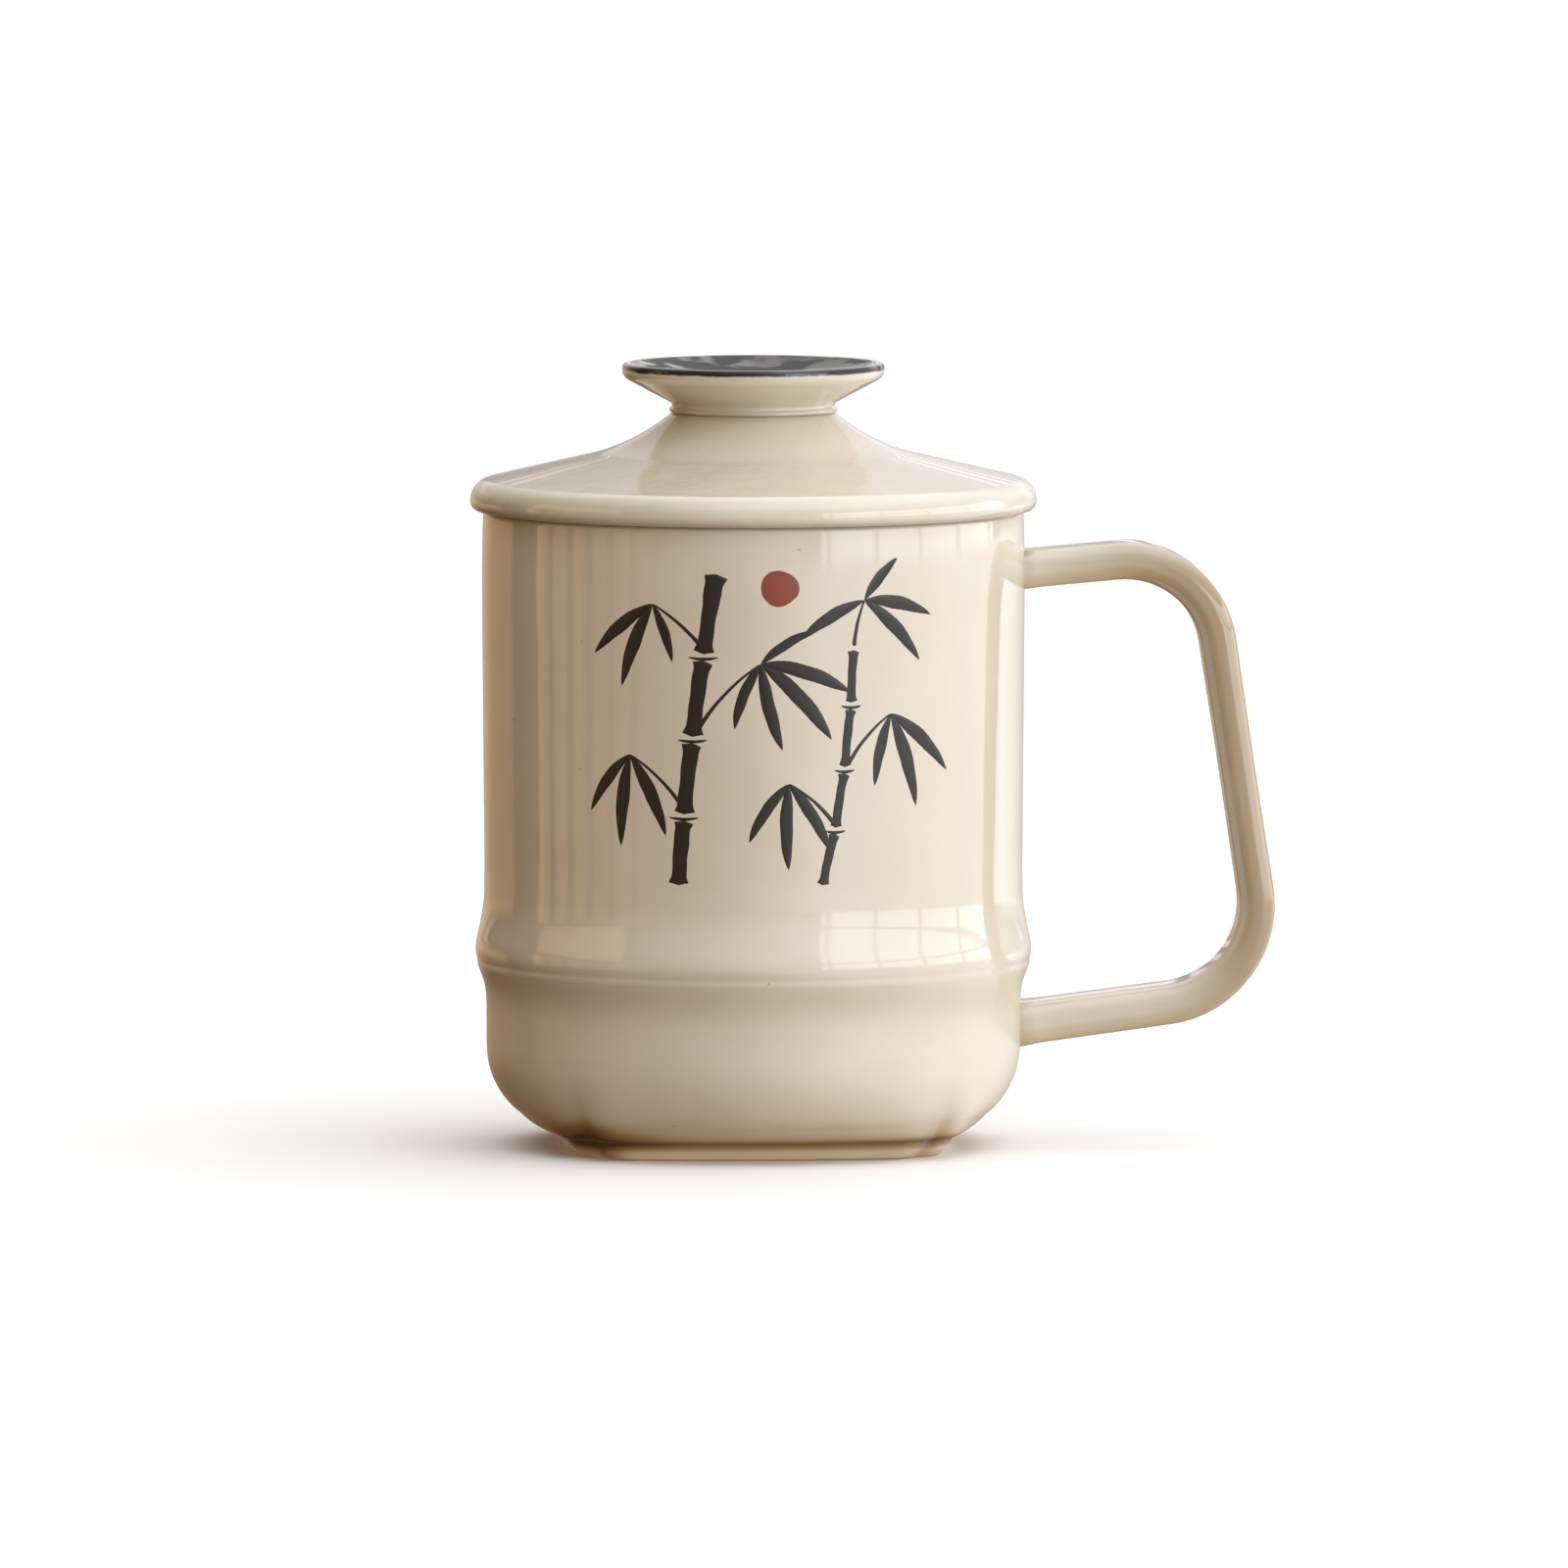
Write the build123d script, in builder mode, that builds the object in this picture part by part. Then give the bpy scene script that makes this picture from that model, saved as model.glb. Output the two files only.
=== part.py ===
from build123d import *
from math import cos, radians, sin, tan
import os

# A lidded tea mug in glazed stoneware, with a lift-out strainer.
# Sizes are in millimetres. The foot stands on z = 0, the cup's axis is Z and the handle points along +X.

# Cup
cup_height = 104.0
rim_radius = 44.4
waist_inset = 0.5
base_inset = 0.8
wall = 4.8
floor = 5.0
rim_round = 0.8

# Raised ring round the cup, like a joint in a bamboo stem
ring_proud = 1.8
ring_height = 31.0
ring_rise = 10.0
ring_fall = 9.0

# Heel, where the round wall turns in to a square-set foot of four lobes.
# It turns in most at the middle of each lobe and least at the corners, where a crease parts two lobes.
heel_height = 11.5
heel_inset = 10.4
corner_inset = 5.2
heel_fullness = 0.8
heel_steps = 6
inner_heel_round = 6.5
lobe_count = 4
crease_turn = 10.0

# Foot ring
foot_height = 3.1
foot_taper = 2.0
foot_face_width = 5.0
foot_recess = 2.2
foot_edge = 0.7

# Rebate in the cup's mouth, whose ledge carries the strainer
ledge_width = 2.2
ledge_depth = 3.4

# Handle strap: its centre line is told by its two roots on the wall and its two corners
handle_width = 12.0
handle_thickness = 6.0
handle_edge_round = 2.4
handle_top_drop = 10.2
handle_top_rise = 3.0
handle_top_reach = 29.3
handle_top_bend = 15.5
handle_low_height = 19.2
handle_low_rise = 5.9
handle_low_reach = 40.2
handle_low_bend = 16.5

# Strainer
flange_clearance = 0.5
flange_drop = 0.3
flange_round = 0.8
basket_gap = 1.9
basket_depth = 52.0
basket_taper = 4.6
basket_wall = 3.0
basket_floor = 3.2
basket_round = 5.0
basket_inner_round = 2.5
hole_radius = 1.2
hole_pitch = 7.2
side_hole_rows = 2
side_hole_count = 12

# Lid
lid_overhang = 1.8
lid_edge = 4.4
lid_edge_upper_round = 3.4
lid_edge_lower_round = 1.2
lid_slope = 13.2
lid_cone_radius = 26.0
lid_height = 15.9
lid_wall = 4.2
lid_crown = 6.5
skirt_clearance = 1.4
skirt_depth = 7.0
skirt_wall = 3.2
skirt_round = 1.2

# Knob
neck_radius = 13.3
neck_length = 1.5
neck_round = 2.0
knob_radius = 21.4
knob_height = 8.0
lip_height = 2.2
lip_round = 1.6
lip_width = 1.5
lip_top_round = 0.6
dish_depth = 2.8

# Sizes that follow from those above
cup_bore = rim_radius - wall
waist_radius = rim_radius - waist_inset
base_radius = rim_radius - base_inset
ring_radius = base_radius + ring_proud
inside_floor = foot_recess + floor
ring_low = ring_height - ring_fall
ring_top = ring_height + ring_rise
heel_top = foot_height + heel_height
foot_top_radius = base_radius - heel_inset
foot_face_radius = foot_top_radius - foot_taper
corner_reach = heel_inset - corner_inset
rebate_radius = cup_bore + ledge_width
ledge_height = cup_height - ledge_depth
flange_radius = rebate_radius - flange_clearance
flange_top = cup_height - flange_drop
basket_top_radius = cup_bore - basket_gap
basket_base_radius = basket_top_radius - basket_taper
basket_base = ledge_height - basket_depth
basket_inside = basket_base + basket_floor
basket_inside_radius = basket_base_radius - basket_wall
mouth_radius = basket_top_radius - basket_wall
lid_radius = rim_radius + lid_overhang
lid_slope_rise = tan(radians(lid_slope))
lid_cone_height = cup_height + lid_edge + lid_slope_rise * (lid_radius - lid_cone_radius)
lid_neck_height = cup_height + lid_height
skirt_radius = mouth_radius - skirt_clearance
skirt_inner_radius = skirt_radius - skirt_wall
skirt_base = cup_height - skirt_depth
lid_under_height = cup_height + lid_edge + lid_slope_rise * (lid_radius - skirt_inner_radius) - lid_wall
lid_under_crown = lid_neck_height - lid_crown
knob_top = lid_neck_height + knob_height

os.makedirs("parts", exist_ok=True)


def polar(radius, angle):
    return (radius * cos(radians(angle)), radius * sin(radians(angle)))


# The cup's outside as a full solid. The cup is hollowed out of it, and the handle's roots are cut to it.
# Each outline of the foot and the heel gives a height, the lobes' middle radius and the creases' radius.
half_lobe = 180 / lobe_count
flank = half_lobe - crease_turn
foot_outlines = []
for height, radius in (
    (0, foot_face_radius - foot_edge),
    (foot_edge, foot_face_radius),
    (foot_height, foot_top_radius),
):
    foot_outlines.append((height, radius, radius + corner_reach))
heel_outlines = []
for step in range(heel_steps + 1):
    fall, reach = polar(1, 90 * step / heel_steps)
    turned_in = (1 - reach) ** heel_fullness
    middle_radius = base_radius - heel_inset * turned_in
    crease_radius = base_radius - corner_inset * turned_in
    heel_outlines.append((heel_top - heel_height * fall, middle_radius, crease_radius))
with BuildPart() as cup_blank:
    for outlines in (foot_outlines, heel_outlines):
        for height, middle_radius, crease_radius in outlines:
            with BuildSketch(Plane.XY.offset(height)):
                with BuildLine():
                    for lobe in range(lobe_count):
                        middle = 2 * lobe * half_lobe
                        face = ThreePointArc(
                            polar(crease_radius, middle - flank),
                            polar(middle_radius, middle),
                            polar(crease_radius, middle + flank),
                        )
                        TangentArc(face @ 1, polar(crease_radius, middle + half_lobe), tangent=face % 1)
                        TangentArc(face @ 0, polar(crease_radius, middle - half_lobe), tangent=-(face % 0))
                make_face()
        loft(ruled=outlines is foot_outlines)
    # The straight wall and its ring
    with BuildSketch(Plane.XZ):
        with BuildLine():
            Polyline((0, heel_top), (base_radius, heel_top), (base_radius, ring_low))
            Spline((base_radius, ring_low), (ring_radius, ring_height), tangents=((0, 1), (0, 1)))
            Spline((ring_radius, ring_height), (waist_radius, ring_top), tangents=((0, 1), (0, 1)))
            Polyline((waist_radius, ring_top), (rim_radius, cup_height), (0, cup_height), (0, heel_top))
        make_face()
    revolve(axis=Axis.Z)

with BuildPart() as cup_body:
    add(cup_blank.part)
    # Inside, with the rebate at the mouth
    with BuildSketch(Plane.XZ):
        with BuildLine():
            FilletPolyline(
                (0, inside_floor),
                (cup_bore, inside_floor),
                (cup_bore, ledge_height),
                (rebate_radius, ledge_height),
                (rebate_radius, cup_height),
                (0, cup_height),
                radius=(0, inner_heel_round, 0, 0, 0, 0),
                close=True,
            )
        make_face()
    revolve(axis=Axis.Z, mode=Mode.SUBTRACT)
    fillet(cup_body.edges().filter_by(GeomType.CIRCLE).group_by(Axis.Z)[-1], rim_round)
    # Hollow under the floor, which leaves the foot ring
    with BuildSketch():
        Circle(foot_face_radius - foot_face_width)
    extrude(amount=foot_recess, mode=Mode.SUBTRACT)

with BuildPart() as handle:
    with BuildLine(Plane.XZ) as strap_line:
        FilletPolyline(
            (cup_bore, cup_height - handle_top_drop),
            (rim_radius + handle_top_reach, cup_height - handle_top_drop + handle_top_rise),
            (rim_radius + handle_low_reach, handle_low_height + handle_low_rise),
            (cup_bore, handle_low_height),
            radius=(handle_top_bend, handle_low_bend),
        )
    with BuildSketch(Plane(strap_line.line @ 0, x_dir=(0, 1, 0), z_dir=strap_line.line % 0)):
        RectangleRounded(handle_width, handle_thickness, handle_edge_round)
    sweep()
    add(cup_blank.part, mode=Mode.SUBTRACT)

with BuildPart() as strainer:
    # A tapered basket that hangs by its flange
    with BuildSketch(Plane.XZ):
        with BuildLine():
            FilletPolyline(
                (0, basket_base),
                (basket_base_radius, basket_base),
                (basket_top_radius, ledge_height),
                (flange_radius, ledge_height),
                (flange_radius, flange_top),
                (mouth_radius, flange_top),
                (basket_inside_radius, basket_inside),
                (0, basket_inside),
                radius=(0, basket_round, 0, 0, flange_round, flange_round, basket_inner_round, 0),
                close=True,
            )
        make_face()
    revolve(axis=Axis.Z)
    # Rings of holes in the floor
    hole_rings = int((basket_base_radius - basket_round - hole_radius) / hole_pitch)
    with BuildSketch(Plane.XY.offset(basket_base)):
        Circle(hole_radius)
        for ring in range(1, hole_rings + 1):
            with PolarLocations(ring * hole_pitch, 6 * ring):
                Circle(hole_radius)
    extrude(amount=basket_floor, mode=Mode.SUBTRACT)
    # Rows of holes round the side, just above the floor
    for row in range(side_hole_rows):
        row_turn = 180 / side_hole_count * row
        with Locations((0, 0, basket_base + basket_round + hole_pitch * (row + 0.5))):
            with PolarLocations(basket_base_radius, side_hole_count, start_angle=row_turn):
                Cylinder(hole_radius, 4 * basket_wall, rotation=(0, 90, 0), mode=Mode.SUBTRACT)

with BuildPart() as lid:
    with BuildSketch(Plane.XZ):
        with BuildLine():
            FilletPolyline(
                (skirt_inner_radius, lid_under_height),
                (skirt_inner_radius, skirt_base),
                (skirt_radius, skirt_base),
                (skirt_radius, cup_height),
                (lid_radius, cup_height),
                (lid_radius, cup_height + lid_edge),
                (lid_cone_radius, lid_cone_height),
                radius=(skirt_round, skirt_round, 0, lid_edge_lower_round, lid_edge_upper_round),
            )
            TangentArc(
                (lid_cone_radius, lid_cone_height),
                (neck_radius, lid_neck_height),
                tangent=(-1, lid_slope_rise),
            )
            Polyline((neck_radius, lid_neck_height), (0, lid_neck_height), (0, lid_under_crown))
            TangentArc((0, lid_under_crown), (skirt_inner_radius, lid_under_height), tangent=(1, 0))
        make_face()
    revolve(axis=Axis.Z)

with BuildPart() as lid_knob:
    with BuildSketch(Plane.XZ):
        with BuildLine():
            FilletPolyline(
                (0, lid_neck_height),
                (neck_radius, lid_neck_height),
                (neck_radius, lid_neck_height + neck_length),
                (knob_radius, knob_top - lip_height),
                (knob_radius, knob_top),
                (knob_radius - lip_width, knob_top),
                radius=(0, neck_round, lip_round, lip_top_round),
            )
            TangentArc((0, knob_top - dish_depth), (knob_radius - lip_width, knob_top), tangent=(1, 0))
            Line((0, knob_top - dish_depth), (0, lid_neck_height))
        make_face()
    revolve(axis=Axis.Z)

pieces = {
    "cup_body": cup_body,
    "handle": handle,
    "strainer": strainer,
    "lid": lid,
    "lid_knob": lid_knob,
}
for name, piece in pieces.items():
    piece.part.label = name
    export_step(piece.part, f"parts/{name}.step")
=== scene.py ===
import bmesh
import bpy
from math import acos, atan2, cos, exp, hypot, pi, radians, sin, sqrt, tan
from mathutils import Matrix, Vector


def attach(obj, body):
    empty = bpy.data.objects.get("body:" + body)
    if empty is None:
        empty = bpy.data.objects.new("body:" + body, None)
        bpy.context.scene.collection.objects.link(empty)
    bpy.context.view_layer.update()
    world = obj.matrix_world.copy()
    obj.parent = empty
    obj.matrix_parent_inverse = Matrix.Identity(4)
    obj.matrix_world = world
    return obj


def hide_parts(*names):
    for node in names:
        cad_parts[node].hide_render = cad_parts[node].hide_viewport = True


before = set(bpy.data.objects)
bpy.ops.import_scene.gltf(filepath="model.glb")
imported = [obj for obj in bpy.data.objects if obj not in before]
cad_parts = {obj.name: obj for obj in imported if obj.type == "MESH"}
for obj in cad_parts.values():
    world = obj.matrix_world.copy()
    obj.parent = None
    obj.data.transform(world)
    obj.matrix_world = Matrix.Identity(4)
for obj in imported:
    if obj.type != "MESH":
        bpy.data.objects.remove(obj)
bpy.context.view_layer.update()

# Cup. Slip-cast stoneware with a glossy cream glaze. A raised ring stands out low on its straight wall, and
# the round wall turns in to a square-set foot of four lobes with creases between them.
# The rim is wiped round, and a rebate inside it carries the strainer. Sizes are in millimetres.
mm = 0.001
turn_steps = 256
merge_reach = 0.002 * mm
cup_height = 104.0
rim_radius = 44.4
rim_wiped = 0.32
rim_round = 0.8
shoulder_radius = 44.33
shoulder_height = 95.5
waist_radius = 43.94
waist_height = 47.0
base_radius = 43.6
rebate_radius = 41.8
ledge_height = 100.6
ledge_round = 0.5
bore_radius = 39.6
inside_floor = 7.2
inside_round = 6.5
recess_radius = 26.2
recess_height = 2.2
foot_height = 3.1
foot_taper = 2.0
foot_edge_in = 1.3
foot_edge_out = 0.3
foot_edge_height = 1.1
foot_edge_round = 0.6
heel_height = 11.5
heel_inset = 10.4
corner_inset = 5.2
heel_fullness = 0.8
heel_run = 16.0
heel_steps = 30
evening_reach = 2.8
evening_steps = 4
crease_turn = radians(10)
flank = pi / 4 - crease_turn
foot_top_radius = base_radius - heel_inset
foot_face_radius = foot_top_radius - foot_taper
heel_top = foot_height + heel_height
# The ring's outline: how far it stands out from the base, its height, and how each corner is rounded
ring = [
    (0.02, 24.2, 1.2), (0.35, 26.8, 1.0), (1.15, 28.8, 0.6), (1.5, 29.8, 0.4), (1.48, 30.5, 0.3),
    (1.7, 31.3, 0.35), (1.8, 32.3, 0.45), (1.64, 33.8, 0.7), (1.1, 36.1, 1.1), (0.44, 39.6, 1.6),
    (0.33, 43.5, 1.8),
]


def turned(points):
    """Turn an outline once round the cup's axis. Each point has a radius, a height and a cut, which is how
    far along its two edges the corner there is rounded."""
    shape = bmesh.new()
    corners = [shape.verts.new((radius * mm, 0, height * mm)) for radius, height, _ in points]
    for first, second in zip(corners, corners[1:]):
        shape.edges.new((first, second))
    for corner, (_, _, cut) in zip(corners, points):
        if cut:
            # A longer round has more segments
            segments = max(3, min(14, round(cut * 2.5)))
            bmesh.ops.bevel(
                shape, geom=[corner], offset=cut * mm, offset_type="OFFSET", segments=segments,
                profile=0.5, affect="VERTICES", material=-1,
            )
    bmesh.ops.spin(
        shape, geom=shape.verts[:] + shape.edges[:], cent=(0, 0, 0), axis=(0, 0, 1),
        angle=2 * pi, steps=turn_steps, use_merge=True,
    )
    bmesh.ops.remove_doubles(shape, verts=shape.verts[:], dist=merge_reach)
    bmesh.ops.recalc_face_normals(shape, faces=shape.faces[:])
    return shape


def piece(shape, name, material):
    """Make an object of a mesh: smooth faces, sharp corners, and shading that follows the large faces."""
    sharp_angle = radians(50)
    mesh = bpy.data.meshes.new(name)
    shape.to_mesh(mesh)
    shape.free()
    mesh.shade_smooth()
    mesh.set_sharp_from_angle(angle=sharp_angle)
    mesh.materials.append(material)
    made = bpy.data.objects.new(name, mesh)
    bpy.context.scene.collection.objects.link(made)
    made.modifiers.new("even shading", "WEIGHTED_NORMAL").keep_sharp = True
    return made


def near(value, middle, spread):
    """1 at the middle, falling smoothly to 0 a few spreads away."""
    return exp(-((value - middle) / spread) ** 2)


def linear(code):
    """The linear colour of an sRGB hex code."""
    parts = [int(code[place:place + 2], 16) / 255 for place in (1, 3, 5)]
    return [part / 12.92 if part <= 0.04045 else ((part + 0.055) / 1.055) ** 2.4 for part in parts] + [1.0]


def node(tree, kind, inputs, **settings):
    """Add a node with its settings. Each input is given a value, or the socket that it is linked to. In a Mix
    node, input 0 is the share, 2 and 3 are the two numbers, and 6 and 7 the two colours."""
    made = tree.nodes.new("ShaderNode" + kind)
    for key, value in settings.items():
        setattr(made, key, value)
    for key, value in inputs.items():
        if isinstance(value, bpy.types.NodeSocket):
            tree.links.new(value, made.inputs[key])
        else:
            made.inputs[key].default_value = value
    return made


# How much clear glass lies over the glaze's colour
glaze_coat = 0.9


def cream_glaze(name, bare_below=None, ripple_depth=0.6 * mm, peel_depth=0.0):
    """Glossy cream glaze on stoneware: a thick, slightly milky glass that gives sharp reflections over a soft
    body colour. The colour drifts in patches, browns where the glaze pools, is painted browner as shade
    in grooves and on shaded sides, and carries fine iron specks."""
    patch_size = 24 * mm
    speck_spacing = 5 * mm
    ripple_size = 11 * mm
    peel_size = 2 * mm
    thin_height = 27 * mm
    thick_height = 31 * mm
    wiped_edge = 0.15 * mm
    material = bpy.data.materials.new(name)
    material.use_nodes = True
    tree = material.node_tree
    surface = tree.nodes["Principled BSDF"]
    place = node(tree, "TexCoord", {}).outputs["Object"]
    patches = node(
        tree, "TexNoise", {"Vector": place, "Scale": 1 / patch_size, "Detail": 3.0, "Roughness": 0.55},
    ).outputs["Fac"]
    body = node(tree, "ValToRGB", {"Fac": patches})
    for stop, position, code in zip(body.color_ramp.elements, (0.3, 0.72), ("#d2c6af", "#d8cdb7")):
        stop.position = position
        stop.color = linear(code)
    colour = body.outputs["Color"]
    # Painted shade: browner where the glaze pools and where shade falls, and dark brownish for the deepest
    # painted shadow
    pooled_and_shaded = node(tree, "Attribute", {}, attribute_name="pooling_and_shade").outputs["Fac"]
    deep_shade = node(tree, "Math", {0: pooled_and_shaded, 1: 1.0}, operation="SUBTRACT", use_clamp=True).outputs["Value"]
    for share, code in ((pooled_and_shaded, "#96794e"), (deep_shade, "#4d3620")):
        colour = node(tree, "Mix", {0: share, 6: colour, 7: linear(code)}, data_type="RGBA").outputs[2]
    # Iron specks, half a millimetre across and far apart
    specks = node(tree, "TexVoronoi", {"Vector": place, "Scale": 1 / speck_spacing})
    limits = {"From Min": 0.03, "From Max": 0.07, "To Min": 0.4, "To Max": 0.0}
    dot = node(tree, "MapRange", {"Value": specks.outputs["Distance"], **limits}).outputs["Result"]
    chance = node(tree, "SeparateColor", {"Color": specks.outputs["Color"]}).outputs["Red"]
    chosen = node(tree, "Math", {0: chance, 1: 0.1}, operation="LESS_THAN").outputs["Value"]
    speck = node(tree, "Math", {0: dot, 1: chosen}, operation="MULTIPLY").outputs["Value"]
    colour = node(tree, "Mix", {0: speck, 6: colour, 7: linear("#7a6046")}, data_type="RGBA").outputs[2]
    limits = {"From Min": 0.3, "From Max": 0.7, "To Min": 0.07, "To Max": 0.12}
    roughness = node(tree, "MapRange", {"Value": patches, **limits}).outputs["Result"]
    if bare_below is not None:
        height = node(tree, "SeparateXYZ", {"Vector": place}).outputs["Z"]
        # On the cup, the glaze lies thinner under the ring and has a softer gloss there
        thick = node(
            tree, "MapRange", {"Value": height, "From Min": thin_height, "From Max": thick_height},
        ).outputs["Result"]
        roughness = node(tree, "Mix", {0: thick, 2: 0.26, 3: roughness}, data_type="FLOAT").outputs[0]
        coat = node(tree, "Mix", {0: thick, 2: 0.1, 3: glaze_coat}, data_type="FLOAT").outputs[0]
        tree.links.new(coat, surface.inputs["Coat Weight"])
        # The face that stood on the kiln shelf is wiped clean of glaze
        limits = {"From Min": bare_below, "From Max": bare_below + wiped_edge, "To Min": 1.0, "To Max": 0.0}
        bare = node(tree, "MapRange", {"Value": height, **limits}).outputs["Result"]
        colour = node(tree, "Mix", {0: bare, 6: colour, 7: linear("#b0936f")}, data_type="RGBA").outputs[2]
        roughness = node(tree, "Mix", {0: bare, 2: roughness, 3: 0.8}, data_type="FLOAT").outputs[0]
    ripple = node(
        tree, "TexNoise", {"Vector": place, "Scale": 1 / ripple_size, "Detail": 1.5, "Roughness": 0.4},
    ).outputs["Fac"]
    bump = node(tree, "Bump", {"Height": ripple, "Strength": 0.3, "Distance": ripple_depth}).outputs["Normal"]
    if peel_depth:
        # A fine orange peel, where the glaze was sprayed on
        peel = node(tree, "TexNoise", {"Vector": place, "Scale": 1 / peel_size, "Detail": 1.0}).outputs["Fac"]
        bump = node(
            tree, "Bump", {"Height": peel, "Normal": bump, "Strength": 0.3, "Distance": peel_depth},
        ).outputs["Normal"]
    for socket, source in (("Base Color", colour), ("Roughness", roughness), ("Normal", bump)):
        tree.links.new(source, surface.inputs[socket])
    surface.inputs["IOR"].default_value = 1.5
    surface.inputs["Coat Weight"].default_value = glaze_coat
    surface.inputs["Coat Roughness"].default_value = 0.03
    return material


def lobed_radius(angle, middle, corner):
    """The radius of a lobed outline, in mm: flat-faced lobes that turn in to a crease at each corner."""
    least_lobe = 0.05
    small_turn = 0.01
    if corner - middle < least_lobe:
        return middle
    away = abs((angle + pi / 4) % (pi / 2) - pi / 4)
    centre = (middle ** 2 - corner ** 2) / (2 * (middle - corner * cos(flank)))
    curve = middle - centre

    def face(turn):
        return centre * cos(turn) + sqrt(curve ** 2 - (centre * sin(turn)) ** 2)

    if away <= flank:
        return face(away)
    along = (away - flank) / crease_turn
    swell = (face(flank) - face(flank - small_turn)) / small_turn * crease_turn
    return corner + swell * along * (1 - along)


def heel_radius(height):
    """The radius of a lobe's middle, in mm, at a height on the heel."""
    turn = acos(min(1, max(0, 1 - (height - foot_height) / heel_height)))
    return base_radius - heel_inset * (1 - sin(turn)) ** heel_fullness


# The heel leaves the wall by degrees, so its radius is evened out over a few millimetres
heel = []
for step in range(heel_steps + 1):
    height = foot_height + heel_run * (step / heel_steps) ** 2
    evened = min(evening_reach, height - foot_height)
    nearby = [height + evened * part / evening_steps for part in range(-evening_steps, evening_steps + 1)]
    heel.append((sum(heel_radius(place) for place in nearby) / len(nearby), height, 0))
cup_shape = turned(
    [
        (0, recess_height, 0), (recess_radius, recess_height, 0.5), (recess_radius, 0, 0.4),
        (foot_face_radius - foot_edge_in, 0, foot_edge_round),
        (foot_face_radius + foot_edge_out, foot_edge_height, foot_edge_round), *heel,
        *((base_radius + proud, height, cut) for proud, height, cut in ring),
        (waist_radius, waist_height, 0), (shoulder_radius, shoulder_height, 5.0),
        (rim_radius - rim_wiped, cup_height, rim_round), (rebate_radius, cup_height, rim_round),
        (rebate_radius, ledge_height, ledge_round), (bore_radius, ledge_height, ledge_round),
        (bore_radius, inside_floor, inside_round), (0, inside_floor, 0),
    ],
)
pooling_and_shade = cup_shape.verts.layers.float.new("pooling_and_shade")
for vert in cup_shape.verts:
    reach = hypot(vert.co.x, vert.co.y) / mm
    height = vert.co.z / mm
    angle = atan2(vert.co.y, vert.co.x)
    # Only the outside has lobes, pooled glaze and painted shade
    outside = reach > recess_radius + 1 and (height < inside_floor - 0.1 or reach > bore_radius + 0.2)
    if not outside:
        continue
    over_foot = height - foot_height
    if height < heel_top + evening_reach:
        if over_foot > 0:
            corner = base_radius - (base_radius - reach) * corner_inset / heel_inset
        else:
            corner = reach + heel_inset - corner_inset
        vert.co.xy *= lobed_radius(angle, reach, corner) / reach
    # Painted shade: a shadow line at the foot, shade in the creases, under the ring and at the lower left
    from_crease = abs(angle % (pi / 2) - pi / 4)
    low_on_heel = min(1, max(0, (heel_top - height) / heel_height))
    foot_shadow_line = 1.1 * near(over_foot, 0, 0.6)
    foot_shade = 0.45 * near(over_foot, 0, 3.0 if over_foot > 0 else 1.6)
    crease_shade = 0.6 * low_on_heel ** 1.5 * near(from_crease, 0, radians(5))
    under_ring_shade = 0.16 * near(height, 25.5, 2.5)
    left_corner_shade = near(angle, radians(-135), radians(17)) * near(height, 3.8, 2.2)
    vert[pooling_and_shade] = foot_shadow_line + foot_shade + crease_shade + under_ring_shade + left_corner_shade
cup = piece(cup_shape, "cup", cream_glaze("cream glaze on the cup", bare_below=0.3 * mm))
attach(cup, "cup")
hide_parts("cup_body")

# Handle. A flat strap of clay, pulled and bent square, with both ends luted to the wall.
# It is thickest near its roots, its edges are sponged round, and the slip leaves a soft fillet at each root.
strap_width = 12.0
strap_thickness = 6.0
strap_edge = 2.5
upper_root = Vector((41.6, 0, 93.98))
upper_corner = Vector((73.7, 0, 96.8))
lower_corner = Vector((84.6, 0, 25.1))
lower_root = Vector((41.6, 0, 19.46))
upper_bend = 15.5
lower_bend = 16.5
run_steps = 12
bend_steps = 16
# Stations along the strap's centre line: a point and a heading
stations = [(upper_root, (upper_corner - upper_root).normalized())]
begin = upper_root
for before, corner, after, bend in (
    (upper_root, upper_corner, lower_corner, upper_bend),
    (upper_corner, lower_corner, lower_root, lower_bend),
):
    way_in = (corner - before).normalized()
    way_out = (after - corner).normalized()
    swing = way_in.angle(way_out)
    cut = bend * tan(swing / 2)
    bend_begin = corner - way_in * cut
    run = bend_begin - begin
    stations += [(begin + run * step / run_steps, way_in) for step in range(1, run_steps)]
    centre = bend_begin + (way_out - way_in * way_out.dot(way_in)).normalized() * bend
    for step in range(bend_steps + 1):
        turn = Matrix.Rotation(swing * step / bend_steps, 4, way_in.cross(way_out))
        stations.append((centre + turn @ (bend_begin - centre), turn @ way_in))
    begin = corner + way_out * cut
run = lower_root - begin
stations += [(begin + run * step / run_steps, way_out) for step in range(1, run_steps + 1)]


def strap_frame(place, heading):
    """The place and size of the strap's section at a station."""
    from_wall = place.x - rim_radius
    height = place.z
    thicker = 1 - 0.07 * near(height, 60, 24) + 0.13 * near(height, 20, 6) + 0.03 * near(height, 95, 5)
    fillet = 0.07 * exp(-max(0, from_wall + 0.6) / 1.4)
    size = Matrix.Diagonal((1 + fillet * 0.7, thicker + fillet, 1, 1))
    across = Vector((0, 1, 0))
    axes = Matrix((across, heading.cross(across), heading)).transposed().to_4x4()
    return Matrix.Translation(place * mm) @ axes @ size


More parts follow.
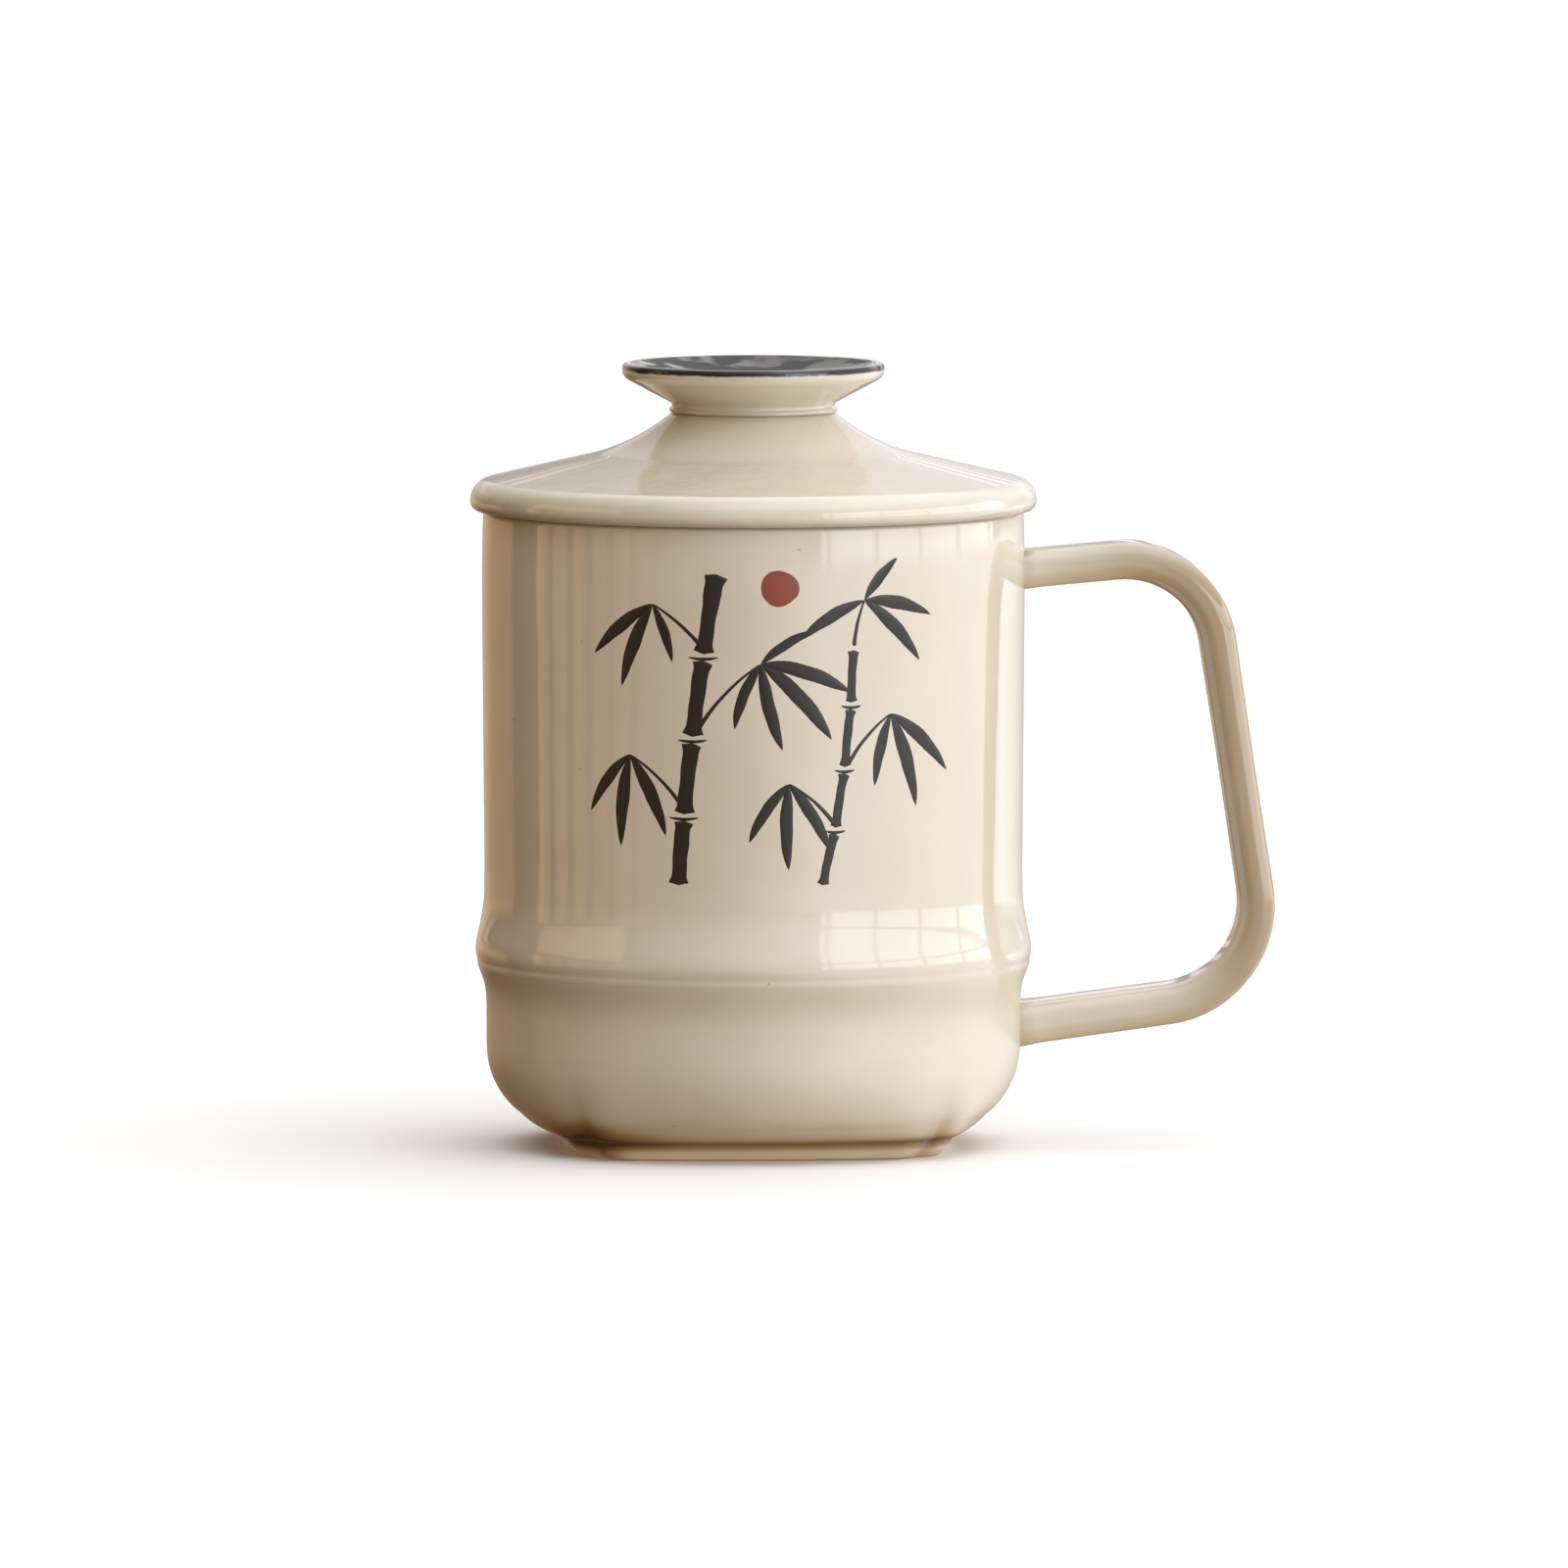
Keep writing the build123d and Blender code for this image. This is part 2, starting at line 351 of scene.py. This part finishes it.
strap = bmesh.new()
bmesh.ops.create_grid(strap, x_segments=1, y_segments=1, size=0.5)
bmesh.ops.scale(strap, vec=(strap_width * mm, strap_thickness * mm, 1), verts=strap.verts[:])
bmesh.ops.bevel(
    strap, geom=strap.verts[:], offset=strap_edge * mm, offset_type="OFFSET", segments=8,
    profile=0.5, affect="VERTICES", material=-1,
)
last_frame = strap_frame(*stations[0])
bmesh.ops.transform(strap, matrix=last_frame, verts=strap.verts[:])
end = strap.faces[:]
for station in stations[1:]:
    grown = bmesh.ops.extrude_face_region(strap, geom=end)["geom"]
    if station is not stations[1]:
        # Only the first section stays, as the strap's end
        bmesh.ops.delete(strap, geom=end, context="FACES_ONLY")
    end = [part for part in grown if isinstance(part, bmesh.types.BMFace)]
    next_frame = strap_frame(*station)
    bmesh.ops.transform(
        strap, matrix=next_frame @ last_frame.inverted(),
        verts=[part for part in grown if isinstance(part, bmesh.types.BMVert)],
    )
    last_frame = next_frame
bmesh.ops.recalc_face_normals(strap, faces=strap.faces[:])
pooling_and_shade = strap.verts.layers.float.new("pooling_and_shade")
strap.normal_update()
for vert in strap.verts:
    out = vert.co.x / mm - rim_radius
    height = vert.co.z / mm
    # Painted shade: the upright is browner than the two runs, by the way each face turns, and the roots are
    # darker where they meet the wall
    upright = min(1, max(0, out / 26 if height > 60 else (out - 20) / 16))
    side_shade = 0.55 + 0.25 * vert.normal.x + 0.2 * vert.normal.y ** 2
    root_shade = 0.3 * near(hypot(vert.co.x, vert.co.y) / mm, rim_radius, 0.9)
    vert[pooling_and_shade] = 0.04 + root_shade + upright * side_shade
handle = piece(strap, "handle_strap", cream_glaze("cream glaze on the handle"))
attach(handle, "cup")
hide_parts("handle")

# Brushwork. A spray of bamboo and a small red sun, painted freehand on the cup's front in iron pigments.
# Each mark is one stroke of a soft brush: laid down full, drawn to a point, and thinner where it runs dry.
paint_thickness = 0.08 * mm
wall_lean = (shoulder_radius - waist_radius) / (shoulder_height - waist_height)


def paint_sheet():
    """An empty sheet for brush marks, and its layer for how full the brush was."""
    sheet = bmesh.new()
    sheet.loops.layers.uv.new("stroke")
    return sheet, sheet.verts.layers.float.new("density")


def on_wall(spot, out):
    """A point on the cup's front, from mm across and mm up. A mark stands off the wall at its middle, where
    out is 0, and sinks into the glaze at its edge, where out is 1."""
    lift = 0.05 * (1 - out ** 2) - 0.02 * out ** 4
    reach = waist_radius + (spot.y - waist_height) * wall_lean + lift
    return Vector((reach * sin(spot.x / reach), -reach * cos(spot.x / reach), spot.y)) * mm


ink_sheet, ink_density = paint_sheet()


def stroke(begin, end, sag, breadth, ink, swell):
    """One brush mark from begin to end, bowed sideways by sag; swell gives its half breadth along the way."""
    begin = Vector(begin)
    run = Vector(end) - begin
    aside = Vector((-run.y, run.x)).normalized()
    strip = bmesh.ops.create_grid(ink_sheet, x_segments=28, y_segments=6, size=0.5, calc_uvs=True)["verts"]
    for vert in strip:
        along = vert.co.x + 0.5
        across = vert.co.y * 2
        slope = (run + aside * sag * 4 * (1 - 2 * along)).normalized()
        middle = begin + run * along + aside * sag * 4 * along * (1 - along)
        unsteady = 1 + 0.04 * sin(along * 17 + begin.x * 3) * across + 0.04 * sin(along * 9 + begin.y)
        half = breadth / 2 * swell(along) * unsteady
        vert.co = on_wall(middle + Vector((-slope.y, slope.x)) * half * across, across)
        vert[ink_density] = ink * (1 - 0.45 * along ** 3)
    bmesh.ops.remove_doubles(ink_sheet, verts=strip, dist=merge_reach)


def leaf(along):
    """A bamboo leaf: a thin stalk, a full belly and a long fine point."""
    return 2.05 * along ** 0.75 * (1 - along) ** 0.8


def stem(along):
    """A length of stem: pressed at both ends, drawn thinner between."""
    ends = min(1, 9 * along * (1 - along) / 0.3) ** 0.5
    return ends * (0.82 + 0.28 * near(along, 0.03, 0.06) + 0.28 * near(along, 0.97, 0.06))


def twig(along):
    """A twig: even, and fine at its far end."""
    return (1 - 0.6 * along) * min(1, along / 0.04) ** 0.5 * min(1, (1 - along) / 0.04) ** 0.5


def dab(along):
    """A short dab: round at both ends."""
    return (4 * along * (1 - along)) ** 0.6


# Two stems, drawn upwards length by length, with a dab across each joint
joint_gap = 0.5
dab_overhang = 0.7
dab_breadth = 0.62
for joints, breadth, ink in (
    ([(-14.5, 45.5), (-13.6, 57.0), (-12.2, 69.6), (-10.4, 83.0), (-8.2, 97.0)], 3.6, 0.95),
    ([(9.0, 45.5), (11.2, 54.8), (12.8, 64.6), (13.9, 75.0), (14.4, 84.5)], 2.1, 0.8),
):
    for low, high in zip(joints, joints[1:]):
        gap = (Vector(high) - Vector(low)).normalized() * joint_gap
        stroke(Vector(low) + gap, Vector(high) - gap, 0.12, breadth, ink, stem)
    for joint in joints[1:-1]:
        across = Vector((breadth / 2 + dab_overhang, 0))
        stroke(Vector(joint) - across, Vector(joint) + across, -0.3, dab_breadth, 1.0, dab)
# Twigs, from the joints: begin, end and bow
twig_breadth = 0.9
twig_ink = 0.85
for begin, end, sag in (
    ((-11.8, 70.4), (-1.0, 82.0), 0.9), ((-13.2, 57.8), (-23.0, 67.0), -0.8),
    ((-10.0, 83.8), (-19.0, 91.5), -0.6), ((13.2, 65.2), (21.0, 73.5), 0.7),
    ((14.4, 84.6), (16.2, 92.0), 0.3), ((11.4, 55.4), (3.5, 62.5), -0.6),
):
    stroke(begin, end, sag, twig_breadth, twig_ink, twig)
# Leaves, in hanging groups at the twigs' ends: a place, and each leaf's length, heading, bow and ink
for place, leaves in (
    (
        (-1.0, 82.0),
        (
            (15.5, -18, 0.9, 1.0), (17.0, -47, 0.8, 0.95), (14.5, -76, -0.5, 0.8),
            (11.5, -112, -0.7, 0.9), (10, 32, 0.5, 0.7),
        ),
    ),
    ((-23.0, 67.0), ((14.5, -64, 0.6, 1.0), (15.0, -96, -0.5, 0.85), (12.0, -128, -0.7, 0.95))),
    ((-19.0, 91.5), ((13.5, -142, -0.6, 0.9), (14.5, -112, -0.6, 1.0), (10.0, -70, 0.4, 0.75))),
    ((21.0, 73.5), ((15.0, -40, 0.7, 0.95), (16.0, -72, 0.6, 1.0), (12.0, -104, -0.5, 0.8))),
    (
        (16.2, 92.0),
        ((13.0, -12, 0.7, 0.85), (14.5, -44, 0.7, 1.0), (12.5, -150, -0.7, 0.9), (9.0, 48, 0.4, 0.7)),
    ),
    ((3.5, 62.5), ((13.0, -58, 0.5, 0.9), (14.0, -90, -0.4, 1.0), (11.5, -124, -0.6, 0.85))),
):
    for length, heading, sag, ink in leaves:
        end = Vector(place) + Vector((cos(radians(heading)), sin(radians(heading)))) * length
        stroke(place, end, sag, 0.23 * length + 0.4, ink, leaf)
ink_sheet.normal_update()
bmesh.ops.solidify(ink_sheet, geom=ink_sheet.faces[:], thickness=paint_thickness)


def brushed_pigment(name, thin, full):
    """Iron pigment brushed on the wall: full black or red where the brush was wet, streaky and thinner where
    it ran dry, with a softer gloss than the glaze around it."""
    streak_count = 9
    material = bpy.data.materials.new(name)
    material.use_nodes = True
    tree = material.node_tree
    surface = tree.nodes["Principled BSDF"]
    along = node(tree, "UVMap", {}, uv_map="stroke").outputs["UV"]
    drawn = node(tree, "Mapping", {"Vector": along, "Scale": (2, streak_count, 1)}).outputs["Vector"]
    streaks = node(
        tree, "TexNoise", {"Vector": drawn, "Scale": 1.0, "Detail": 3.0, "Roughness": 0.6},
    ).outputs["Fac"]
    wet = node(tree, "Attribute", {}, attribute_name="density").outputs["Fac"]
    load = node(tree, "Math", {0: streaks, 1: 0.55, 2: wet}, operation="MULTIPLY_ADD").outputs["Value"]
    pigment = node(tree, "ValToRGB", {"Fac": load})
    for stop, position, code in zip(pigment.color_ramp.elements, (0.55, 1.0), (thin, full)):
        stop.position = position
        stop.color = linear(code)
    tree.links.new(pigment.outputs["Color"], surface.inputs["Base Color"])
    surface.inputs["Roughness"].default_value = 0.3
    surface.inputs["IOR"].default_value = 1.35
    surface.inputs["Coat Weight"].default_value = 0.2
    surface.inputs["Coat Roughness"].default_value = 0.04
    return material


bamboo = piece(ink_sheet, "brushed_bamboo", brushed_pigment("black iron pigment", "#2e2822", "#110e0c"))
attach(bamboo, "cup")

sun_place = Vector((2.0, 94.0))
sun_radius = 3.1
sun_sheet, sun_density = paint_sheet()
bmesh.ops.create_circle(sun_sheet, cap_ends=True, cap_tris=True, segments=64, radius=1, calc_uvs=True)
bmesh.ops.subdivide_edges(sun_sheet, edges=sun_sheet.edges[:], cuts=3, use_grid_fill=True)
for vert in sun_sheet.verts:
    out = hypot(vert.co.x, vert.co.y)
    unsteady = 1 + 0.04 * sin(3 * atan2(vert.co.y, vert.co.x) + 1)
    vert[sun_density] = 0.6 + 0.4 * out
    vert.co = on_wall(sun_place + vert.co.xy * sun_radius * unsteady, out)
sun_sheet.normal_update()
bmesh.ops.solidify(sun_sheet, geom=sun_sheet.faces[:], thickness=paint_thickness)
sun = piece(sun_sheet, "brushed_sun", brushed_pigment("red iron pigment", "#8d4637", "#752c20"))
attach(sun, "cup")

# Strainer. A thin cast basket that hangs by its flange on the ledge in the cup's mouth, glazed all over.
# Rows of small drilled holes let the tea through its floor and its lower side.
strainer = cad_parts["strainer"]
strainer_glaze = cream_glaze("cream glaze on the strainer")
strainer.data.materials.clear()
strainer.data.materials.append(strainer_glaze)

# Lid. A loose turned lid of glazed stoneware, with a rounded overhanging edge, a long slope and a hollow
# crown that rises to the neck. Its skirt drops inside the strainer's mouth and keeps it in place.
lid_radius = 46.2
lid_edge_height = 108.4
skirt_radius = 33.3
skirt_bore = 30.1
skirt_base = 97.0
skirt_round = 1.1
neck_height = 119.9
neck_radius = 13.3
top_ripple = 1.4 * mm
lid_shape = turned(
    [
        (0, 113.4, 0), (12, 112.6, 3), (skirt_bore, 107.98, 1.5), (skirt_bore, skirt_base, skirt_round),
        (skirt_radius, skirt_base, skirt_round), (skirt_radius, cup_height, 0.6),
        (lid_radius, cup_height, 1.2), (lid_radius, lid_edge_height, 2.69), (18.75, 114.84, 7.44),
        (neck_radius, neck_height, 0.2), (0, neck_height, 0),
    ],
)
pooling_and_shade = lid_shape.verts.layers.float.new("pooling_and_shade")
# Painted shade where the crown meets the neck and along the edge that sits on the cup
for vert in lid_shape.verts:
    height = vert.co.z / mm
    vert[pooling_and_shade] = 0.3 * near(height, neck_height, 0.7) + 0.35 * near(height, cup_height, 0.5)
lid_glaze = cream_glaze("cream glaze on the lid", ripple_depth=top_ripple, peel_depth=0.3 * mm)
lid = piece(lid_shape, "lid_dome", lid_glaze)
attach(lid, "lid_unit")
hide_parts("lid")

# Knob. Turned by itself and luted to the lid's neck, flared so wide that the turned-over lid stands on it.
# Its dish and lip are dipped in black iron glaze, and the rest is cream like the lid. The black glaze fused
# to a mirror along the lip and in patches, and stayed satin between them.
knob_top = 127.9
knob_radius = 21.4
lip_base = 125.7
lip_middle = 20.6
dish_radius = 19.9
dish_depth = 2.8
dip_depth = 1.0
bead_proud = 0.45
wavy_size = 3 * mm
mottle_size = 8 * mm
dish = []
for reach, cut in ((16, 1.6), (12, 1.8), (8, 1.8), (4, 1.8), (0, 0)):
    dish.append((reach, knob_top - dish_depth * (1 - (reach / dish_radius) ** 2), cut))
knob_shape = turned(
    [
        (0, neck_height, 0), (neck_radius, neck_height, 0),
        (neck_radius + bead_proud, neck_height + 0.15, 0.15),
        (neck_radius + bead_proud, neck_height + 0.65, 0.2),
        (neck_radius, neck_height + 1.0, 0.2), (neck_radius, neck_height + 1.5, 0.35),
        (knob_radius, lip_base, 0.96), (knob_radius, knob_top, 0.6), (dish_radius, knob_top, 0.4), *dish,
    ],
)
dip = knob_shape.verts.layers.float.new("dip")
lip = knob_shape.verts.layers.float.new("lip")
pooling_and_shade = knob_shape.verts.layers.float.new("pooling_and_shade")
knob_shape.normal_update()
for vert in knob_shape.verts:
    reach = hypot(vert.co.x, vert.co.y) / mm
    height = vert.co.z / mm
    below = knob_top - height
    # The dish is black all over, and outside it the dip ends below the lip's top edge
    in_dish = below < dish_depth + 0.7 and vert.normal.z > 0.2
    vert[dip] = 3 if in_dish else dip_depth - below
    vert[lip] = near(reach, lip_middle, 0.7) if vert.normal.z > 0.7 else 0
    # Painted shade where the knob meets the lid's neck
    vert[pooling_and_shade] = 0.4 * near(height, neck_height, 0.7)
knob_glaze = cream_glaze("cream and black glaze on the knob", ripple_depth=top_ripple)
tree = knob_glaze.node_tree
surface = tree.nodes["Principled BSDF"]
cream = surface.inputs["Base Color"].links[0].from_socket
cream_gloss = surface.inputs["Roughness"].links[0].from_socket
place = node(tree, "TexCoord", {}).outputs["Object"]
# The dip ends in a wavy line under the lip
depth = node(tree, "Attribute", {}, attribute_name="dip").outputs["Fac"]
waver = node(tree, "TexNoise", {"Vector": place, "Scale": 1 / wavy_size, "Detail": 2.0}).outputs["Fac"]
edge = node(tree, "Math", {0: waver, 1: 0.5, 2: -0.25}, operation="MULTIPLY_ADD").outputs["Value"]
reached = node(tree, "Math", {0: depth, 1: edge}, operation="ADD").outputs["Value"]
black = node(tree, "MapRange", {"Value": reached, "From Min": -0.15, "From Max": 0.15}).outputs["Result"]
colour = node(tree, "Mix", {0: black, 6: cream, 7: linear("#120f0e")}, data_type="RGBA").outputs[2]
# Mirror patches and a mirror line along the lip, in satin black
mottle = node(tree, "TexNoise", {"Vector": place, "Scale": 1 / mottle_size, "Detail": 2.0}).outputs["Fac"]
patchy = node(tree, "MapRange", {"Value": mottle, "From Min": 0.55, "From Max": 0.45}).outputs["Result"]
along_lip = node(tree, "Attribute", {}, attribute_name="lip").outputs["Fac"]
fused = node(tree, "Math", {0: patchy, 1: along_lip}, operation="MAXIMUM").outputs["Value"]
black_gloss = node(tree, "Mix", {0: fused, 2: 0.5, 3: 0.06}, data_type="FLOAT").outputs[0]
roughness = node(tree, "Mix", {0: black, 2: cream_gloss, 3: black_gloss}, data_type="FLOAT").outputs[0]
coat = node(tree, "Mix", {0: black, 2: glaze_coat, 3: fused}, data_type="FLOAT").outputs[0]
for socket, source in (("Base Color", colour), ("Roughness", roughness), ("Coat Weight", coat)):
    tree.links.new(source, surface.inputs[socket])
knob = piece(knob_shape, "knob", knob_glaze)
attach(knob, "lid_unit")
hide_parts("lid_knob")

# Studio. A plain pale floor in soft air, whose brightness changes with the way one looks, as in a room.
# It is brightest in the window on the right and overhead, and dim and warm on the left and low down, as
# over a wooden table. The floor throws no light back at the cup.
floor_metres = 30
floor_shape = bmesh.new()
bmesh.ops.create_circle(floor_shape, cap_ends=True, segments=96, radius=floor_metres)
floor_mesh = bpy.data.meshes.new("floor")
floor_shape.to_mesh(floor_mesh)
floor_shape.free()
# Matt white paint: no gloss, so that only the soft shadow shows on it
floor_paint = bpy.data.materials.new("matt white floor")
floor_paint.use_nodes = True
floor_surface = floor_paint.node_tree.nodes["Principled BSDF"]
floor_surface.inputs["Base Color"].default_value = linear("#fbf8f3")
floor_surface.inputs["Roughness"].default_value = 0.9
floor_mesh.materials.append(floor_paint)
studio_floor = bpy.data.objects.new("studio_floor", floor_mesh)
bpy.context.scene.collection.objects.link(studio_floor)
studio_floor.visible_diffuse = False
studio_floor.visible_glossy = False
studio_floor.visible_shadow = False

world = bpy.data.worlds.new("studio air")
world.use_nodes = True
air = world.node_tree


def patch(*steps, within=1.0):
    """A patch of light in the studio air. Each step has a way of looking, where along it the light begins and
    ends to change, and its strength before and after. The patch is all its steps together, within another."""
    strength = within
    for way, begin, end, before, after in steps:
        limits = {"From Min": begin, "From Max": end, "To Min": before, "To Max": after}
        change = node(air, "MapRange", {"Value": way, **limits}, interpolation_type="SMOOTHSTEP")
        strength = node(
            air, "Math", {0: strength, 1: change.outputs["Result"]}, operation="MULTIPLY",
        ).outputs["Value"]
    return strength


# Ways of looking: by direction, and by how many degrees one has turned right from the front
looking = node(air, "SeparateXYZ", {"Vector": node(air, "TexCoord", {}).outputs["Generated"]})
rightward = looking.outputs["X"]
backward = looking.outputs["Y"]
upward = looking.outputs["Z"]
frontward = node(air, "Math", {0: backward, 1: -1.0}, operation="MULTIPLY").outputs["Value"]
heading = node(air, "Math", {0: rightward, 1: frontward}, operation="ARCTAN2").outputs["Value"]
turned_right = node(air, "Math", {0: heading}, operation="DEGREES").outputs["Value"]
off_front = node(air, "Math", {0: turned_right}, operation="ABSOLUTE").outputs["Value"]
aside = node(air, "Math", {0: rightward}, operation="ABSOLUTE").outputs["Value"]
# The room: brighter to the right, dim low down and dimmest low on the left
shaded = patch((rightward, -0.5, 0.15, 1.0, 0.0), (upward, -0.35, 0.0, 0.65, 0.0))
unshaded = node(air, "Math", {0: 1.0, 1: shaded}, operation="SUBTRACT").outputs["Value"]
over_table = patch((upward, -0.4, 0.2, 0.34, 1.0), within=unshaded)
room = patch((rightward, -0.7, 0.7, 0.14, 0.76), within=over_table)
front_fill = patch((backward, -0.95, -0.1, 0.6, 0.0), within=over_table)
left_wall = patch((turned_right, -107, -103, 0.0, 0.09), within=over_table)
rear_light = patch(
    (off_front, 126, 130, 0.0, 1.35), (upward, -0.04, 0.04, 1.0, 0.15), (rightward, -0.3, 0.0, 1.0, 0.43),
    within=over_table,
)
ceiling = patch((upward, 0.45, 0.95, 0.0, 1.35), (rightward, -0.8, 0.2, 0.4, 1.0))
far_wall = patch((backward, 0.3, 0.8, 0.0, 0.33), (aside, 0.04, 0.07, 0.2, 1.0), (upward, 0.1, 0.3, 0.0, 1.0))
# The table, lit by the window
table = patch((rightward, -0.1, 0.7, 0.0, 0.6), (upward, -0.5, -0.1, 1.0, 0.0))
lit_table = patch((upward, -0.9, -0.55, 0.5, 0.0), (rightward, -0.35, 0.2, 0.2, 1.0))
# On the left, a curtain in folds and a pane above it
fold_spacing = 5.5
off_fold = node(air, "Math", {0: turned_right, 1: fold_spacing}, operation="PINGPONG").outputs["Value"]
curtain = patch(
    (turned_right, -108.5, -107.5, 0.0, 1.3), (turned_right, -105, -104, 1.6, 1.0),
    (turned_right, -82, -81, 1.0, 0.7), (turned_right, -60, -40, 1.0, 0.0), (off_fold, 1.4, 2.2, 0.1, 1.0),
    (upward, -0.2, -0.13, 0.0, 1.0), (upward, 0.06, 0.14, 1.0, 0.0),
)
left_pane = patch(
    (turned_right, -107, -106, 0.0, 1.8), (turned_right, -61, -59, 1.0, 0.0), (upward, 0.13, 0.16, 0.0, 1.0),
    (upward, 0.42, 0.46, 1.0, 0.0),
)
# On the right, the window: panes between bars, a rail across them and a lit sill below
window_middle = 73.0
bar_spacing = 11.0
rail_height = 0.16
off_window = node(air, "Math", {0: turned_right, 1: window_middle}, operation="SUBTRACT").outputs["Value"]
off_middle = node(air, "Math", {0: off_window}, operation="ABSOLUTE").outputs["Value"]
off_bar = node(air, "Math", {0: off_window, 1: bar_spacing}, operation="PINGPONG").outputs["Value"]
over_rail = node(air, "Math", {0: upward, 1: rail_height}, operation="SUBTRACT").outputs["Value"]
off_rail = node(air, "Math", {0: over_rail}, operation="ABSOLUTE").outputs["Value"]
panes = patch(
    (off_middle, 46.5, 48, 2.3, 0.0), (off_bar, 0.7, 1.3, 0.2, 1.0), (off_rail, 0.012, 0.02, 0.2, 1.0),
    (upward, -0.05, -0.03, 0.0, 1.0), (upward, 0.34, 0.38, 1.0, 0.0),
)
sill = patch((off_middle, 45, 90, 0.9, 0.0), (upward, -0.8, -0.1, 0.3, 1.0), (upward, -0.05, -0.03, 1.0, 0.0))
# Behind, a low louvre
slat_spacing = 0.022
off_slat = node(air, "Math", {0: upward, 1: slat_spacing}, operation="PINGPONG").outputs["Value"]
louvre = patch(
    (off_front, 140, 155, 0.0, 0.9), (off_slat, 0.009, 0.013, 0.0, 1.0), (upward, 0.0, 0.02, 0.0, 1.0),
    (upward, 0.2, 0.3, 1.0, 0.0), (aside, 0.01, 0.03, 0.0, 1.0),
)
level = room
for light in (
    table, lit_table, front_fill, left_wall, curtain, rear_light, ceiling, far_wall, louvre, sill,
    panes, left_pane,
):
    level = node(air, "Math", {0: level, 1: light}, operation="ADD").outputs["Value"]
# The light is cool from the right and above, and warm from the left and below
up_or_right = node(air, "Math", {0: rightward, 1: upward}, operation="ADD").outputs["Value"]
coolness = patch((up_or_right, -0.7, 0.5, 0.0, 1.0), (backward, 0.5, 0.9, 1.0, 0.72))
shade = node(
    air, "Mix", {0: coolness, 6: linear("#c19a70"), 7: linear("#f0f4fb")}, data_type="RGBA",
).outputs[2]
air.links.new(level, air.nodes["Background"].inputs["Strength"])
air.links.new(shade, air.nodes["Background"].inputs["Color"])
bpy.context.scene.world = world

# Camera, at the photograph's viewing angle: a little above the cup and a little to the left of its front.
# It stands far off with a long lens, so that uprights stay upright. Its reach and field are in metres.
camera_turn = radians(-3)
camera_rise = radians(4.6)
camera_reach = 4.0
field = 0.256
sensor = 36
aim_right = 5.0
aim_height = 59.0
lens = bpy.data.cameras.new("camera")
lens.sensor_width = sensor
lens.lens = sensor * camera_reach / field
lens.clip_start = 0.1
camera = bpy.data.objects.new("camera", lens)
right = Vector((cos(camera_turn), sin(camera_turn), 0))
back = Vector((sin(camera_turn) * cos(camera_rise), -cos(camera_turn) * cos(camera_rise), sin(camera_rise)))
camera.location = right * aim_right * mm + Vector((0, 0, aim_height * mm)) + back * camera_reach
camera.rotation_euler = (-back).to_track_quat("-Z", "Y").to_euler()
bpy.context.scene.collection.objects.link(camera)
bpy.context.scene.camera = camera
bpy.context.scene.view_settings.view_transform = "Standard"
